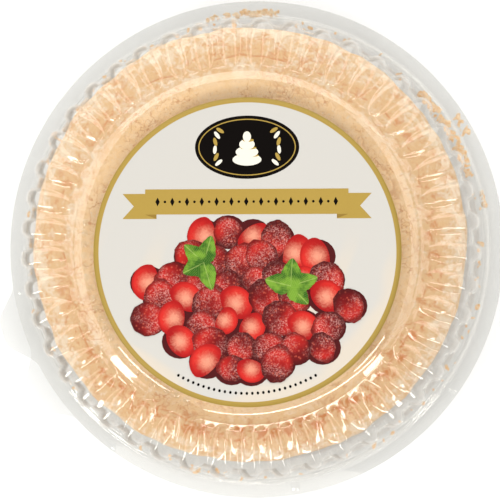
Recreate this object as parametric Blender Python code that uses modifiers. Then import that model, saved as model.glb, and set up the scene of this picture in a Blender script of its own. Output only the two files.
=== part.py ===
"""A baked meringue base in a shut clear pack: a shallow tray, a fluted dome lid and a paper label.

The lid presses over the tray's ridge, and both halves have a flat flange and one pull tab.
Metres, +Z up. The origin is at the centre of the tray's underside.
"""

import math

import bmesh
import bpy
from mathutils import Matrix, Vector, noise

# Both clear halves
SHEET = 0.0005                  # wall of the thermoformed sheet
CLEARANCE = 0.0003              # air between neighbouring pieces
COLUMNS = 60                    # facets round a plain turned ring
FLANGE_RADIUS = 0.145

# Tray: floor, sloping wall, ridge that the lid grips, flange
FLOOR_RADIUS = 0.1255
WALL_TOP_RADIUS = 0.1303
RIDGE_RADII = (0.1312, 0.1340)  # inner and outer edge of the ridge's flat top
RIDGE_TOP = 0.0170
RIDGE_FOOT_RADIUS = 0.1362
TRAY_FLANGE_TOP = 0.0105
FILLET = 0.0010                 # corner step between a wall and a flat

# Lid: flange, step over the ridge, ledge, ribbed dome, shoulder, rising strip, flat panel
LID_FLANGE_TOP = TRAY_FLANGE_TOP + CLEARANCE + SHEET
STEP_FOOT_RADIUS = 0.1372
STEP_TOP_RADIUS = 0.1358
LEDGE_TOP = RIDGE_TOP + 2 * CLEARANCE + SHEET
WALL_FOOT_RADIUS = 0.1285       # the dome's own surface, between the ribs
SHOULDER_TOP = 0.0545
SHOULDER_RADII = (0.1026, 0.1002)
PANEL_TOP = 0.0580
PANEL_RADIUS = 0.0943
STRIP_TOP_RADIUS = 0.0955
FOOT_DRAFT = math.radians(0.3)  # lean of the dome at its foot, from upright
SHOULDER_SLOPE = math.radians(13.0)
FOOT_REACH = 0.0340             # handle lengths of the dome's curve
SHOULDER_REACH = 0.0300

# Ribs of the dome
RIB_COUNT = 45
RIB_PHASE = math.radians(-1.35)  # turn of the first rib from +X
RIB_HEIGHTS = (0.0041, 0.0020)   # how far a rib stands out at its foot and near its nose
RIB_FOOT_HALF_WIDTH = 0.0058
RIB_TIP_HALF_WIDTH = 0.0064
RIB_NOSE_START = 0.80           # share of the dome's line where a rib starts to round off
RIB_NOSE_WIDTH = 0.2            # share of its width that a rib keeps at its very end
RIB_STATIONS = (0.0, 0.37, 0.51, 0.64, 0.86, 1.0)
RIB_CREST_SHARE = 0.5           # half-width of a rib's crest, as a share of its foot's

# Pull tabs: the direction of the middle, the width along the rim and the reach past it
TAB_SHEET = 0.0004
TAB_OVERLAP = 0.0040            # how far a tab's plate runs into its flange
TAB_FLANK = 0.42                # share of a tab's width in each rounded flank
TAB_POINTS = 18
TRAY_TAB = {"angle": math.radians(198.3), "width": 0.0505, "reach": 0.0128}
LID_TAB = {"angle": math.radians(213.8), "width": 0.0515, "reach": 0.0130}

# Meringue: a drum with bulging sides and a wavy top, slid to one side; (radius, height) pairs
MERINGUE_CENTRE = (-0.0011, 0.0022)
MERINGUE_COLUMNS = 48
MERINGUE_FOOT = (0.1120, SHEET + CLEARANCE)
MERINGUE_WIDEST = (0.1245, 0.0300)
MERINGUE_TOP_EDGE = (0.0980, 0.0478)
MERINGUE_SQUARENESS = 2.4       # 2 would make the side's curves elliptical
MERINGUE_DIP = 0.0007           # how far the middle of the top has sunk
MERINGUE_SIDE_SWELL = 0.0006    # how far the outline wanders in and out
MERINGUE_TOP_SWELL = 0.0012     # how far the top rises and dips

# Label, stuck on the panel a little off its centre
LABEL_RADIUS = 0.0871
LABEL_THICKNESS = 0.0003
LABEL_CENTRE = (0.0010, -0.0027)

COLOURS = {
    "tray": (0.86, 0.87, 0.85, 0.30),
    "lid": (0.90, 0.91, 0.90, 0.25),
    "meringue": (0.85, 0.62, 0.36, 1.0),
    "label": (0.85, 0.80, 0.73, 1.0),
}
ROUGHNESS = {"tray": 0.12, "lid": 0.08, "meringue": 0.9, "label": 0.45}


def clear_scene():
    for old in list(bpy.data.objects):
        bpy.data.objects.remove(old, do_unlink=True)


def new_collection(name):
    group = bpy.data.collections.new(name)
    bpy.context.scene.collection.children.link(group)
    return group


def new_material(name):
    material = bpy.data.materials.new(name)
    material.use_nodes = True
    shader = material.node_tree.nodes["Principled BSDF"]
    shader.inputs["Base Color"].default_value = COLOURS[name]
    shader.inputs["Alpha"].default_value = COLOURS[name][3]
    shader.inputs["Roughness"].default_value = ROUGHNESS[name]
    shader.inputs["Metallic"].default_value = 0.0
    material.diffuse_color = COLOURS[name]
    return material


def new_part(name, mesh, group):
    """A named part with its own material, shaded smooth between its sharp corners."""
    part = bpy.data.objects.new(name, mesh)
    group.objects.link(part)
    mesh.materials.clear()
    mesh.materials.append(new_material(name))
    mesh.shade_smooth()
    mesh.set_sharp_from_angle(angle=math.radians(35.0))
    return part


def baked_mesh(source):
    """The mesh that an object's curve or modifiers give, with its loose seams welded."""
    graph = bpy.context.evaluated_depsgraph_get()
    mesh = bpy.data.meshes.new_from_object(source.evaluated_get(graph))
    shape = bmesh.new()
    shape.from_mesh(mesh)
    bmesh.ops.remove_doubles(shape, verts=shape.verts, dist=0.00001)
    shape.to_mesh(mesh)
    shape.free()
    return mesh


def parallel_profile(profile, gap):
    """The line at one distance to the right of a profile of (radius, height) points."""
    moved = []
    for index, (radius, height) in enumerate(profile):
        normals = []
        for a, b in ((index - 1, index), (index, index + 1)):
            if a < 0 or b >= len(profile):
                continue
            run = Vector(profile[b]) - Vector(profile[a])
            normals.append(Vector((run.y, -run.x)).normalized())
        middle = sum(normals, Vector((0.0, 0.0))).normalized()
        miter = gap / middle.dot(normals[0])
        moved.append((max(radius + middle.x * miter, 0.0), height + middle.y * miter))
    return moved


def turned_mesh(profile, columns):
    """Turns a profile of (radius, height) points, run down its outer side, about Z."""
    line = bpy.data.meshes.new("profile")
    points = [(radius, 0.0, height) for radius, height in profile]
    line.from_pydata(points, [(i, i + 1) for i in range(len(points) - 1)], [])
    source = bpy.data.objects.new("profile", line)
    bpy.context.scene.collection.objects.link(source)
    screw = source.modifiers.new("turn", "SCREW")
    screw.axis = "Z"
    screw.steps = columns
    screw.render_steps = columns
    screw.use_merge_vertices = True
    screw.merge_threshold = 0.00001
    mesh = baked_mesh(source)
    bpy.data.objects.remove(source, do_unlink=True)
    bpy.data.meshes.remove(line)
    return mesh


def smooth_rise(share):
    share = min(max(share, 0.0), 1.0)
    return share * share * (3.0 - 2.0 * share)


def tab_plate(name, tab, middle_height, cutters):
    """A flat plate with the tab's lobed outline, which reaches into the flange."""
    half_angle = tab["width"] / FLANGE_RADIUS / 2
    start = tab["angle"] - half_angle
    outline = []
    for step in range(TAB_POINTS + 1):
        share = step / TAB_POINTS
        bulge = smooth_rise(share / TAB_FLANK) * smooth_rise((1.0 - share) / TAB_FLANK)
        outline.append((FLANGE_RADIUS - SHEET + (tab["reach"] + SHEET) * bulge, share))
    outline += [(FLANGE_RADIUS - TAB_OVERLAP, share) for share in (0.9, 0.5, 0.1)]
    curve = bpy.data.curves.new(name, "CURVE")
    curve.dimensions = "2D"
    curve.fill_mode = "BOTH"
    curve.extrude = TAB_SHEET / 2
    spline = curve.splines.new("POLY")
    spline.points.add(len(outline) - 1)
    spline.use_cyclic_u = True
    for point, (radius, share) in zip(spline.points, outline):
        angle = start + 2 * half_angle * share
        point.co = (radius * math.cos(angle), radius * math.sin(angle), 0.0, 1.0)
    source = bpy.data.objects.new(name, curve)
    bpy.context.scene.collection.objects.link(source)
    mesh = baked_mesh(source)
    mesh.transform(Matrix.Translation((0.0, 0.0, middle_height)))
    bpy.data.objects.remove(source, do_unlink=True)
    plate = bpy.data.objects.new(name, mesh)
    plate.hide_render = True
    plate.display_type = "WIRE"
    cutters.objects.link(plate)
    return plate


def join_tab(part, plate):
    union = part.modifiers.new("tab", "BOOLEAN")
    union.operation = "UNION"
    union.solver = "EXACT"
    union.object = plate


def make_tray(group, cutters):
    top = [
        (0.0, SHEET),
        (FLOOR_RADIUS - FILLET, SHEET),
        (FLOOR_RADIUS, SHEET + FILLET),
        (WALL_TOP_RADIUS, RIDGE_TOP - 2 * FILLET),
        (RIDGE_RADII[0], RIDGE_TOP),
        (RIDGE_RADII[1], RIDGE_TOP),
        (RIDGE_RADII[1] + FILLET / 2, RIDGE_TOP - FILLET),
        (RIDGE_FOOT_RADIUS, TRAY_FLANGE_TOP),
        (FLANGE_RADIUS, TRAY_FLANGE_TOP),
    ]
    underside = parallel_profile(top, SHEET)
    tray = new_part("tray", turned_mesh(top + underside[::-1], COLUMNS), group)
    middle = TRAY_FLANGE_TOP - SHEET / 2
    join_tab(tray, tab_plate("tray_tab_plate", TRAY_TAB, middle, cutters))
    return tray


def dome_point(share):
    """The dome's line between the ribs: its radius and height, and its outward normal."""
    a = Vector((WALL_FOOT_RADIUS, LEDGE_TOP))
    b = a + FOOT_REACH * Vector((-math.sin(FOOT_DRAFT), math.cos(FOOT_DRAFT)))
    d = Vector((SHOULDER_RADII[0], SHOULDER_TOP))
    c = d + SHOULDER_REACH * Vector((math.cos(SHOULDER_SLOPE), -math.sin(SHOULDER_SLOPE)))
    rest = 1.0 - share
    point = rest**3 * a + 3 * rest**2 * share * b + 3 * rest * share**2 * c + share**3 * d
    run = rest**2 * (b - a) + 2 * rest * share * (c - b) + share**2 * (d - c)
    return point, Vector((run.y, -run.x)).normalized()


def rib_size(share):
    """A rib's height and half-width, which close in to a rounded nose at the shoulder."""
    nose = max(share - RIB_NOSE_START, 0.0) / (1.0 - RIB_NOSE_START)
    fullness = math.sqrt(1.0 - nose**2)
    width = RIB_FOOT_HALF_WIDTH + (RIB_TIP_HALF_WIDTH - RIB_FOOT_HALF_WIDTH) * share
    height = RIB_HEIGHTS[0] + (RIB_HEIGHTS[1] - RIB_HEIGHTS[0]) * share**2
    return height * fullness, width * (RIB_NOSE_WIDTH + (1.0 - RIB_NOSE_WIDTH) * fullness)


def ring_point(shape, turn, radius, height):
    """A ring is a list of these (turn, vertex) pairs, once round in order."""
    return turn, shape.verts.new((radius * math.cos(turn), radius * math.sin(turn), height))


def plain_ring(shape, radius, height):
    turns = [2 * math.pi * column / COLUMNS for column in range(COLUMNS)]
    return [ring_point(shape, turn, radius, height) for turn in turns]


def ribbed_ring(shape, share):
    """One level of the dome: each rib has two foot points and two crest points."""
    point, normal = dome_point(share)
    height, half_width = rib_size(share)
    half_angle = half_width / point.x
    crest = point + normal * height if share > 0.0 else point + Vector((height, 0.0))
    ring = []
    for rib in range(RIB_COUNT):
        middle = 2 * math.pi * rib / RIB_COUNT + RIB_PHASE
        for side, level in ((-1.0, point), (-RIB_CREST_SHARE, crest),
                            (RIB_CREST_SHARE, crest), (1.0, point)):
            ring.append(ring_point(shape, middle + side * half_angle, level.x, level.y))
    return ring


def join_rings(shape, outer, inner):
    """Quads between like rings. Between unlike ones, triangles that follow the turn of both."""
    a = outer + [(outer[0][0] + 2 * math.pi, outer[0][1])]
    b = inner + [(inner[0][0] + 2 * math.pi, inner[0][1])]
    if len(a) == len(b):
        for i in range(len(outer)):
            shape.faces.new((a[i][1], a[i + 1][1], b[i + 1][1], b[i][1]))
        return
    i = j = 0
    while i < len(outer) or j < len(inner):
        if j == len(inner) or (i < len(outer) and a[i + 1][0] < b[j + 1][0]):
            shape.faces.new((a[i][1], a[i + 1][1], b[j][1]))
            i += 1
        else:
            shape.faces.new((a[i][1], b[j + 1][1], b[j][1]))
            j += 1


def make_lid(group, cutters):
    shape = bmesh.new()
    rings = [
        plain_ring(shape, FLANGE_RADIUS, LID_FLANGE_TOP),
        plain_ring(shape, STEP_FOOT_RADIUS, LID_FLANGE_TOP),
        plain_ring(shape, STEP_TOP_RADIUS + FILLET / 2, LEDGE_TOP - FILLET),
        plain_ring(shape, STEP_TOP_RADIUS, LEDGE_TOP),
    ]
    rings += [ribbed_ring(shape, share) for share in RIB_STATIONS]
    rings += [
        plain_ring(shape, SHOULDER_RADII[1], SHOULDER_TOP),
        plain_ring(shape, STRIP_TOP_RADIUS, PANEL_TOP - SHEET / 2),
        plain_ring(shape, PANEL_RADIUS, PANEL_TOP),
    ]
    for outer, inner in zip(rings, rings[1:]):
        join_rings(shape, outer, inner)
    panel = shape.faces.new([vert for turn, vert in rings[-1]])
    bmesh.ops.poke(shape, faces=[panel])
    bmesh.ops.recalc_face_normals(shape, faces=shape.faces)
    mesh = bpy.data.meshes.new("lid")
    shape.to_mesh(mesh)
    shape.free()
    lid = new_part("lid", mesh, group)
    wall = lid.modifiers.new("wall", "SOLIDIFY")
    wall.thickness = SHEET
    wall.offset = -1.0
    wall.use_even_offset = True
    middle = LID_FLANGE_TOP - SHEET / 2
    join_tab(lid, tab_plate("lid_tab_plate", LID_TAB, middle, cutters))
    return lid


def rounded_quarter(flat, upright, steps):
    """Points along a squarish curve, from where it is level to where it is upright."""
    points = []
    for step in range(steps + 1):
        turn = math.pi / 2 * step / steps
        across = math.sin(turn) ** (2 / MERINGUE_SQUARENESS)
        up = math.cos(turn) ** (2 / MERINGUE_SQUARENESS)
        radius = flat[0] + (upright[0] - flat[0]) * across
        points.append((radius, upright[1] + (flat[1] - upright[1]) * up))
    return points


def make_meringue(group):
    edge, top = MERINGUE_TOP_EDGE
    lowest = MERINGUE_FOOT[1]
    profile = [(edge * share, top - MERINGUE_DIP * (1 - share**2)) for share in (0.0, 0.35, 0.7)]
    profile += rounded_quarter(MERINGUE_TOP_EDGE, MERINGUE_WIDEST, 6)
    profile += rounded_quarter(MERINGUE_FOOT, MERINGUE_WIDEST, 4)[-2::-1]
    mesh = turned_mesh(profile + [(0.0, lowest)], MERINGUE_COLUMNS)
    for vert in mesh.vertices:
        place = vert.co.copy()
        reach = math.hypot(place.x, place.y)
        lift = (place.z - lowest) / (top - lowest)
        if reach > 0.0 and lift > 0.0:
            swell = noise.noise(Vector((place.x * 30.0, place.y * 30.0, place.z * 25.0)))
            vert.co.xy += place.xy / reach * swell * 2 * MERINGUE_SIDE_SWELL
        wave = noise.noise(Vector((place.x * 38.0, place.y * 38.0, 4.0)))
        vert.co.z += wave * 2 * MERINGUE_TOP_SWELL * smooth_rise(2 * lift - 1.0)
    mesh.transform(Matrix.Translation((*MERINGUE_CENTRE, 0.0)))
    return new_part("meringue", mesh, group)


def make_label(group):
    low = PANEL_TOP + CLEARANCE
    high = low + LABEL_THICKNESS
    disc = [(0.0, high), (LABEL_RADIUS, high), (LABEL_RADIUS, low), (0.0, low)]
    mesh = turned_mesh(disc, COLUMNS)
    mesh.transform(Matrix.Translation((*LABEL_CENTRE, 0.0)))
    return new_part("label", mesh, group)


def main():
    clear_scene()
    group = new_collection("packed_pavlova")
    cutters = new_collection("joined_plates")
    make_tray(group, cutters)
    make_meringue(group)
    make_lid(group, cutters)
    make_label(group)


main()
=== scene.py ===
"""A baked meringue base in its shut clear pack, with the finish of every piece.

Metres, +Z up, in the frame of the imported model: the pack's axis is Z and it stands on Z = 0.
The clear tray and lid, the crust and the label stand for the plain solids of the same names.
"""

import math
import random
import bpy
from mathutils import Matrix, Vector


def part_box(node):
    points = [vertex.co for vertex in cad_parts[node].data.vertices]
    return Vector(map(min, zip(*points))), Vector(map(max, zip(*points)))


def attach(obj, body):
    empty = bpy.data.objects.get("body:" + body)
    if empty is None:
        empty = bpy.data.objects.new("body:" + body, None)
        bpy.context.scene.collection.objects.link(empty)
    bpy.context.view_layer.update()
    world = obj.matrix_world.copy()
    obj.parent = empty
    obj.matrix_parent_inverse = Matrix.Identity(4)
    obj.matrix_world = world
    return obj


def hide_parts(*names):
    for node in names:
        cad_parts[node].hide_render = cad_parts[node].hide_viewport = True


bl_info = {
    "name": "Packed Pavlova",
    "version": (1, 0, 0),
    "blender": (4, 5, 0),
    "location": "View3D > Sidebar > Pavlova",
    "description": "Makes a meringue base in a fluted clear pack with a printed label",
    "category": "Object",
}

import bmesh
import bpy
import numpy as np
from mathutils import Matrix, Vector, noise

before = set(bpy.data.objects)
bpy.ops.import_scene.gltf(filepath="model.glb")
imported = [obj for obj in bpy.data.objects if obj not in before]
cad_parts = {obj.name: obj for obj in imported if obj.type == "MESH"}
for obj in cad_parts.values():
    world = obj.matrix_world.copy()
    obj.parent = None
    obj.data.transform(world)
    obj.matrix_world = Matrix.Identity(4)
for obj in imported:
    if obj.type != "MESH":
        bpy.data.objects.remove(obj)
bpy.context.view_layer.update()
LID_LOW, LID_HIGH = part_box("lid")
TRAY_LOW, TRAY_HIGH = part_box("tray")
CRUST_LOW, CRUST_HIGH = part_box("meringue")
LABEL_LOW, LABEL_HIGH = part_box("label")
BODY = "root"
MM = 0.001

RIM = LID_HIGH.x                        # radius of both flanges
PANEL_TOP = LID_HIGH.z
RIDGE_TOP = TRAY_HIGH.z
LID_FLANGE_TOP = 11.3 * MM
TRAY_FLANGE_TOP = 10.5 * MM
LEDGE_TOP = 18.1 * MM
SHOULDER_TOP = 54.5 * MM
WALL_FOOT = 128.5 * MM                  # radius of the dome between its flutes, at the ledge
SHOULDER_START = 102.6 * MM             # radius where the dome runs out and the flutes end
LABEL_CENTRE = (LABEL_LOW + LABEL_HIGH) / 2
LABEL_RADIUS = (LABEL_HIGH.x - LABEL_LOW.x) / 2
CRUST_CENTRE = Vector((-1.1, 2.2, 0.0)) * MM


def srgb(red, green, blue):
    """A linear colour from the 0 to 255 values that a paint chart gives."""
    return tuple((value / 255) ** 2.2 for value in (red, green, blue))


class PackSettings(bpy.types.PropertyGroup):
    sheet: bpy.props.FloatProperty(
        name="Sheet", description="Thickness of the clear sheet", default=0.5 * MM, unit="LENGTH")
    flute_count: bpy.props.IntProperty(
        name="Flutes", description="Number of flutes round the dome", default=45, min=8)
    flute_turn: bpy.props.FloatProperty(
        name="First Flute", description="Turn of the first flute from +X",
        default=math.radians(-1.35), subtype="ANGLE")
    foot_height: bpy.props.FloatProperty(
        name="Foot Height", description="How far a flute stands out of the dome at the ledge",
        default=4.1 * MM, unit="LENGTH")
    tip_height: bpy.props.FloatProperty(
        name="Tip Height", description="How far a flute stands out before its nose rounds off",
        default=2.0 * MM, unit="LENGTH")
    foot_width: bpy.props.FloatProperty(
        name="Foot Width", description="Half the width of a flute at the ledge",
        default=5.8 * MM, unit="LENGTH")
    tip_width: bpy.props.FloatProperty(
        name="Tip Width", description="Half the width of a flute before its nose rounds off",
        default=6.4 * MM, unit="LENGTH")
    lid_tint: bpy.props.FloatVectorProperty(
        name="Lid Tint", description="Share of light that one face of the lid lets through",
        default=(0.982, 0.983, 0.979), subtype="COLOR")
    tray_tint: bpy.props.FloatVectorProperty(
        name="Tray Tint", description="Share of light that one face of the tray lets through",
        default=(0.975, 0.976, 0.970), subtype="COLOR")


class CrustSettings(bpy.types.PropertyGroup):
    pale: bpy.props.FloatVectorProperty(
        name="Pale Crust", description="Colour of the dry sugary crust",
        default=srgb(231, 208, 178), subtype="COLOR")
    tan: bpy.props.FloatVectorProperty(
        name="Tan Crust", description="Colour of the crust where it has baked more",
        default=srgb(219, 177, 128), subtype="COLOR")
    toasted: bpy.props.FloatVectorProperty(
        name="Toasted", description="Colour in the cracks and on the toasted rim",
        default=srgb(200, 122, 60), subtype="COLOR")
    crack_radius: bpy.props.FloatProperty(
        name="Crack Ring", description="Radius at which the top shell has cracked round",
        default=106.0 * MM, unit="LENGTH")
    lump: bpy.props.FloatProperty(
        name="Lumps", description="Height of the small lumps on the side",
        default=0.3 * MM, unit="LENGTH")


class LabelSettings(bpy.types.PropertyGroup):
    cream: bpy.props.FloatVectorProperty(
        name="Cream", description="Ground of the label",
        default=srgb(197, 193, 185), subtype="COLOR")
    gold: bpy.props.FloatVectorProperty(
        name="Gold", description="Border and ribbon of the label",
        default=srgb(166, 138, 66), subtype="COLOR")
    ink: bpy.props.FloatVectorProperty(
        name="Ink", description="Medallion and small ornaments",
        default=srgb(18, 14, 12), subtype="COLOR")
    border: bpy.props.FloatProperty(
        name="Border", description="Width of the gold border",
        default=2.9 * MM, unit="LENGTH")


class StageSettings(bpy.types.PropertyGroup):
    floor: bpy.props.FloatVectorProperty(
        name="Floor", description="Colour of the pale floor",
        default=(0.62, 0.62, 0.61), subtype="COLOR")
    glow: bpy.props.FloatProperty(
        name="Glow", description="How brightly the floor is lit from below", default=0.36)
    lens: bpy.props.FloatProperty(
        name="Lens", description="Focal length for a 36 mm sensor, in millimetres", default=150.15)
    fill: bpy.props.FloatProperty(
        name="Fill", description="Strength of the even light from all round", default=0.28)


# ------------------------------------------------------------------ small helpers


def smooth_step(low, high, value):
    share = min(max((value - low) / (high - low), 0.0), 1.0)
    return share * share * (3.0 - 2.0 * share)


def new_object(name, mesh):
    made = bpy.data.objects.new(name, mesh)
    bpy.context.scene.collection.objects.link(made)
    return made


def baked(source, name):
    """A plain mesh object of what an object's modifiers give. The source is removed."""
    bpy.context.view_layer.update()
    graph = bpy.context.evaluated_depsgraph_get()
    mesh = bpy.data.meshes.new_from_object(source.evaluated_get(graph))
    bpy.data.objects.remove(source, do_unlink=True)
    mesh.name = name
    return new_object(name, mesh)


def finish_piece(piece, material, node=None):
    """Gives a piece its material and its body, and hides the plain solid it stands for."""
    if material:
        piece.data.materials.clear()
        piece.data.materials.append(material)
    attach(piece, BODY)
    if node:
        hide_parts(node)
    return piece


def add(tree, kind, inputs=None, **settings):
    """A node with its settings; an input takes a value or is linked to a socket."""
    made = tree.nodes.new(kind)
    for name, value in settings.items():
        setattr(made, name, value)
    for socket, value in (inputs or {}).items():
        if isinstance(value, bpy.types.NodeSocket):
            tree.links.new(value, made.inputs[socket])
        else:
            made.inputs[socket].default_value = value
    return made


def calc(tree, operation, *values, clamp=False):
    return add(tree, "ShaderNodeMath", dict(enumerate(values)),
               operation=operation, use_clamp=clamp).outputs[0]


def blend(tree, factor, first, second, mode="MIX"):
    """Mixes two colours by a factor."""
    values = [value if isinstance(value, bpy.types.NodeSocket) else (*value, 1.0)
              for value in (first, second)]
    return add(tree, "ShaderNodeMix", {0: factor, 6: values[0], 7: values[1]},
               data_type="RGBA", blend_type=mode).outputs[2]


def spread(tree, value, low, high, to_low=0.0, to_high=1.0):
    """Stretches a value's range from low..high, smoothly and held at its ends."""
    inputs = {"Value": value, "From Min": low, "From Max": high, "To Min": to_low, "To Max": to_high}
    return add(tree, "ShaderNodeMapRange", inputs, interpolation_type="SMOOTHSTEP").outputs[0]


def grain(tree, place, scale, detail=3.0, roughness=0.55, distortion=0.0):
    inputs = {"Vector": place, "Scale": scale, "Detail": detail, "Roughness": roughness,
              "Distortion": distortion}
    return add(tree, "ShaderNodeTexNoise", inputs).outputs["Fac"]


def new_material(name):
    """An empty node material, its tree and its output node."""
    material = bpy.data.materials.new(name)
    material.use_nodes = True
    tree = material.node_tree
    tree.nodes.clear()
    return material, tree, tree.nodes.new("ShaderNodeOutputMaterial")


def object_place(tree):
    return add(tree, "ShaderNodeTexCoord").outputs["Object"]


def shared_group(name, sockets, fill):
    """A shader node group that several materials place, built the first time it is asked for."""
    group = bpy.data.node_groups.get(name)
    if group is None:
        group = bpy.data.node_groups.new(name, "ShaderNodeTree")
        for socket, in_out, kind in sockets:
            group.interface.new_socket(socket, in_out=in_out, socket_type=kind)
        fill(group, group.nodes.new("NodeGroupInput").outputs, group.nodes.new("NodeGroupOutput").inputs)
    return group


def speckle(tree, place, scale, least, most):
    """Small spots on a surface, as a mask: sugar grains, scorched specks and dry patches."""
    def fill(group, given, result):
        spots = grain(group, given["Place"], given["Scale"], 3.0, 0.6)
        mask = spread(group, spots, given["Least"], given["Most"])
        group.links.new(mask, result["Mask"])
    sockets = (("Place", "INPUT", "NodeSocketVector"), ("Scale", "INPUT", "NodeSocketFloat"),
               ("Least", "INPUT", "NodeSocketFloat"), ("Most", "INPUT", "NodeSocketFloat"),
               ("Mask", "OUTPUT", "NodeSocketFloat"))
    made = add(tree, "ShaderNodeGroup", node_tree=shared_group("Speckle", sockets, fill))
    tree.links.new(place, made.inputs["Place"])
    for name, value in (("Scale", scale), ("Least", least), ("Most", most)):
        made.inputs[name].default_value = value
    return made.outputs["Mask"]


# ------------------------------------------------------------------ clear sheet


def clear_material(name, tint, haze, least):
    """Clear plastic sheet with a faint haze: it lets light through and mirrors more at a slant."""
    material, tree, output = new_material(name)
    facing = add(tree, "ShaderNodeLayerWeight", {"Blend": 0.5}).outputs["Facing"]
    slant = calc(tree, "POWER", facing, 5.0)
    mirror_share = calc(tree, "MULTIPLY_ADD", slant, 1.0 - least, least)
    through = add(tree, "ShaderNodeBsdfTransparent", {"Color": (*tint, 1.0)})
    mirror = add(tree, "ShaderNodeBsdfPrincipled",
                 {"Base Color": (*haze, 1.0), "Metallic": 0.6, "Roughness": 0.012})
    mixed = add(tree, "ShaderNodeMixShader",
                {0: mirror_share, 1: through.outputs[0], 2: mirror.outputs[0]})
    tree.links.new(mixed.outputs[0], output.inputs["Surface"])
    return material


def rounded_line(corners, steps=4):
    """A line through (radius, height, fillet) corners, with each fillet as an arc."""
    line = []
    for index, (radius, height, fillet) in enumerate(corners):
        here = Vector((radius, height))
        if fillet == 0.0 or index in (0, len(corners) - 1):
            line.append(here)
            continue
        back = (Vector(corners[index - 1][:2]) - here).normalized()
        ahead = (Vector(corners[index + 1][:2]) - here).normalized()
        half = back.angle(ahead) / 2
        centre = here + (back + ahead).normalized() * fillet / math.sin(half)
        first = here + back * fillet / math.tan(half) - centre
        last = here + ahead * fillet / math.tan(half) - centre
        sweep = first.angle_signed(last)
        for step in range(steps + 1):
            line.append(centre + Matrix.Rotation(-sweep * step / steps, 2) @ first)
    return line


def dome_point(share):
    """The dome's line between the flutes: its place, and its outward normal."""
    foot_lean, shoulder_slope = math.radians(0.3), math.radians(13.0)
    a = Vector((WALL_FOOT, LEDGE_TOP))
    b = a + 34.0 * MM * Vector((-math.sin(foot_lean), math.cos(foot_lean)))
    d = Vector((SHOULDER_START, SHOULDER_TOP))
    c = d + 30.0 * MM * Vector((math.cos(shoulder_slope), -math.sin(shoulder_slope)))
    rest = 1.0 - share
    point = rest**3 * a + 3 * rest**2 * share * b + 3 * rest * share**2 * c + share**3 * d
    run = rest**2 * (b - a) + 2 * rest * share * (c - b) + share**2 * (d - c)
    return point, Vector((run.y, -run.x)).normalized()


def flute_size(pack, share):
    """A flute's height and half width, which close in to a rounded nose at the shoulder."""
    nose = max(share - 0.80, 0.0) / 0.20
    fullness = math.sqrt(max(1.0 - nose**2, 0.0))
    height = pack.foot_height + (pack.tip_height - pack.foot_height) * share**2
    width = pack.foot_width + (pack.tip_width - pack.foot_width) * share
    return height * fullness, width * (0.2 + 0.8 * fullness)


def flute_rise(height, half_width, off):
    """How far a flute's flat-topped back stands out at a distance from its middle."""
    flatness, crease = 3.2, 0.25 * MM
    rise = height * (1.0 - (abs(off) / half_width) ** flatness)
    return (rise + math.sqrt(rise**2 + crease**2)) / 2


def lid_bands(pack):
    """The lid's levels from rim to centre: place, flute direction, share of the dome, weight."""
    level = Vector((1.0, 0.0))
    flange = [Vector((RIM - inset * MM, LID_FLANGE_TOP)) for inset in (0.0, 0.6, 2.0, 3.6, 5.2, 6.6)]
    step = rounded_line([(flange[-1].x, LID_FLANGE_TOP, 0), (137.2 * MM, LID_FLANGE_TOP, 0.5 * MM),
                         (135.8 * MM, LEDGE_TOP, 0.6 * MM), (WALL_FOOT, LEDGE_TOP, 0)], 3)[:-1]
    bands = [(point, level, 0.0, 0.0) for point in flange[:-1] + step]
    ledge = step[-1].x
    for share in (0.35, 0.7, 1.0):
        sunk = 0.2 * MM * share
        bands.append((Vector((ledge + (WALL_FOOT - ledge) * share, LEDGE_TOP - sunk)), level, 0.0, share))
    shares = [0.02, 0.08, 0.17] + [0.17 + 0.63 * k / 11 for k in range(1, 12)]
    shares += [0.80 + 0.20 * math.sin(math.pi / 2 * k / 9) for k in range(1, 10)]
    for share in shares:
        point, normal = dome_point(share)
        bands.append((point, normal, share, 1.0))
    bend, steepest = 22.4 * MM, 32.0
    for slope in (steepest, 27.0, 22.0, 17.0, 12.0, 7.0, 0.0):
        turn = math.radians(slope)
        bands.append((Vector((88.4 * MM + bend * math.sin(turn), PANEL_TOP - bend * (1 - math.cos(turn)))),
                      level, 1.0, 0.0))
    bands.append((Vector((0.0, PANEL_TOP)), level, 1.0, 0.0))
    return bands


def flute_sector(pack):
    """One flute with half a gap on either side, from the flange's rim to the panel's middle."""
    half_pitch = math.pi / pack.flute_count
    across = (0.0, 0.25, 0.47, 0.66, 0.82, 0.93, 1.01, 1.12)
    shape = bmesh.new()
    rings = []
    for point, push, share, weight in lid_bands(pack):
        height, half_width = flute_size(pack, share)
        if point.x == 0.0:
            rings.append([shape.verts.new((0.0, 0.0, point.y))])
            continue
        reach = point.x * half_pitch
        offs = [half_width * step for step in across]
        offs += [(offs[-1] + reach) / 2, reach]
        ring = []
        for off in [-value for value in offs[:0:-1]] + offs:
            moved = point + push * flute_rise(height, half_width, off) * weight
            turn = off / point.x
            ring.append(shape.verts.new((moved.x * math.cos(turn), moved.x * math.sin(turn), moved.y)))
        rings.append(ring)
    for outer, inner in zip(rings, rings[1:]):
        for i in range(len(outer) - 1):
            corners = [outer[i], outer[i + 1]]
            corners += [inner[0]] if len(inner) == 1 else [inner[i + 1], inner[i]]
            shape.faces.new(corners)
    mesh = bpy.data.meshes.new("flute")
    shape.to_mesh(mesh)
    shape.free()
    return new_object("flute", mesh)


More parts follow.
